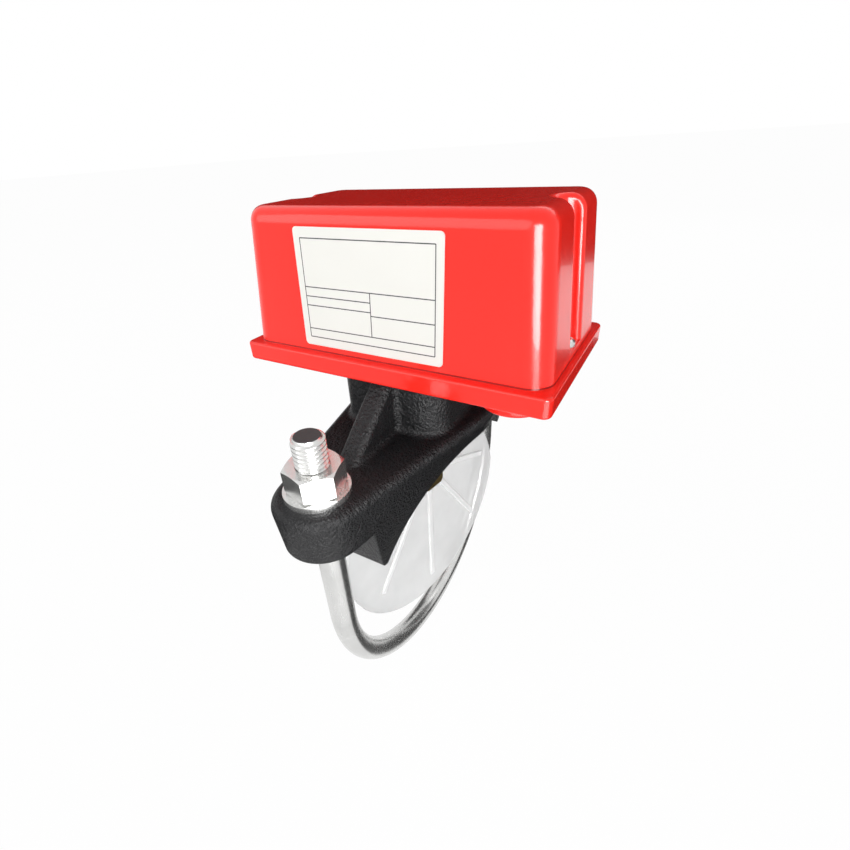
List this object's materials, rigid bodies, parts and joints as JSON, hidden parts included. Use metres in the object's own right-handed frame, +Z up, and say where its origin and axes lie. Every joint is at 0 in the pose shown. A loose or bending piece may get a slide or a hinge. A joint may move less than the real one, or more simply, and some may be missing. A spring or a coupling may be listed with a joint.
{
  "type": "water flow detector",
  "caption": "Vane type water flow detector: red switch box on a black saddle casting that a U-bolt clamps to a pipe, with a ribbed vane that swings in the flow.",
  "frame": {"origin": "crown of the pipe seat, on the axis of the stem bore", "axes": "+X along the pipe, the way the water flows; +Y along the U-bolt's span, away from the label; +Z up through the neck"},
  "size_m": [0.156, 0.2212, 0.2728],
  "materials": {
    "red_paint": "gloss red paint",
    "black_casting": "satin black paint on cast iron",
    "zinc_plate": "bright zinc plate",
    "steel": "plain",
    "spring_steel": "drawn wire",
    "brass": "turned",
    "rubber": "moulded",
    "vane_plastic": "translucent polyethylene",
    "white_plastic": "moulded",
    "black_plastic": "moulded",
    "dark_plastic": "moulded",
    "fibre_sheet": "pressed fibre",
    "label": "printed film",
    "green_steel": "green lacquer"
  },
  "bodies": {
    "housing": {"saddle": "black_casting", "pipe_gasket": "rubber", "ubolt_washers": "zinc_plate", "ubolt_nuts": "zinc_plate", "base": "red_paint", "base_screws": "zinc_plate", "conduit_hub": "red_paint", "conduit_plug": "black_plastic", "cover_gasket": "rubber", "pivot_bracket": "brass", "pivot_pin": "steel", "stem_seal": "rubber", "seal_retainer": "brass", "return_spring": "spring_steel", "retard_bracket": "zinc_plate", "retard_body": "dark_plastic", "retard_cap": "dark_plastic", "retard_spring": "spring_steel", "retard_screws": "steel", "switch_bracket": "zinc_plate", "switch_body_a": "black_plastic", "switch_body_b": "black_plastic", "lever_pins": "steel", "terminal_block_a": "black_plastic", "terminal_block_b": "black_plastic", "terminal_screws": "brass", "switch_screws": "steel", "insulating_barrier": "fibre_sheet", "bracket_screws": "zinc_plate", "ground_screw": "green_steel"},
    "vane": {"trip_stem": "brass", "stem_sleeve": "white_plastic", "vane": "vane_plastic", "vane_clamp": "brass", "vane_screws": "steel"},
    "plunger": {"retard_plunger": "white_plastic", "trip_yoke": "zinc_plate"},
    "lever_a": {"switch_lever_a": "spring_steel"},
    "lever_b": {"switch_lever_b": "spring_steel"},
    "button_a": {"switch_button_a": "white_plastic"},
    "button_b": {"switch_button_b": "white_plastic"},
    "dial": {"retard_dial": "white_plastic"},
    "cover": {"cover": "red_paint", "label_plate": "label", "cover_screws": "zinc_plate"},
    "ubolt": {"ubolt": "zinc_plate"}
  },
  "joints": [
    {"name": "vane_swing", "type": "hinge", "parent": "housing", "child": "vane", "pos_m": [0, 0, 0.012], "axis": [0, -1, 0], "range_deg": [0, 10], "stiffness_Nm_per_rad": 1.2, "springref_deg": -4.58, "deforming": ["return_spring", "stem_seal"]},
    {"name": "retard_stroke", "type": "slide", "parent": "housing", "child": "plunger", "axis": [-1, 0, 0], "range_m": [0, 0.006], "deforming": ["retard_spring"]},
    {"name": "lever_a_turn", "type": "hinge", "parent": "housing", "child": "lever_a", "pos_m": [-0.0202, -0.0095, 0.052], "axis": [0, -1, 0], "range_deg": [0, 5.6]},
    {"name": "button_a_press", "type": "slide", "parent": "housing", "child": "button_a", "axis": [-1, 0, 0], "range_m": [0, 0.0013]},
    {"name": "lever_b_turn", "type": "hinge", "parent": "housing", "child": "lever_b", "pos_m": [-0.0202, 0.0095, 0.052], "axis": [0, -1, 0], "range_deg": [0, 5.6]},
    {"name": "button_b_press", "type": "slide", "parent": "housing", "child": "button_b", "axis": [-1, 0, 0], "range_m": [0, 0.0013]},
    {"name": "dial_turn", "type": "hinge", "parent": "housing", "child": "dial", "pos_m": [0.03798, 0, 0.097], "axis": [0, 0, 1], "range_deg": [0, 270]},
    {"name": "cover_lift", "type": "slide", "parent": "housing", "child": "cover", "axis": [0, 0, 1], "range_m": [0, 0.08]},
    {"name": "ubolt_let_down", "type": "slide", "parent": "housing", "child": "ubolt", "axis": [0, 0, -1], "range_m": [0, 0.0125]}
  ],
  "couplings": [
    {"joint": "retard_stroke", "follows": "vane_swing", "m_per_rad": 0.034377},
    {"joint": "lever_a_turn", "follows": "vane_swing", "ratio": 0.56},
    {"joint": "button_a_press", "follows": "vane_swing", "m_per_rad": 0.0074485},
    {"joint": "lever_b_turn", "follows": "vane_swing", "ratio": 0.56},
    {"joint": "button_b_press", "follows": "vane_swing", "m_per_rad": 0.0074485}
  ]
}
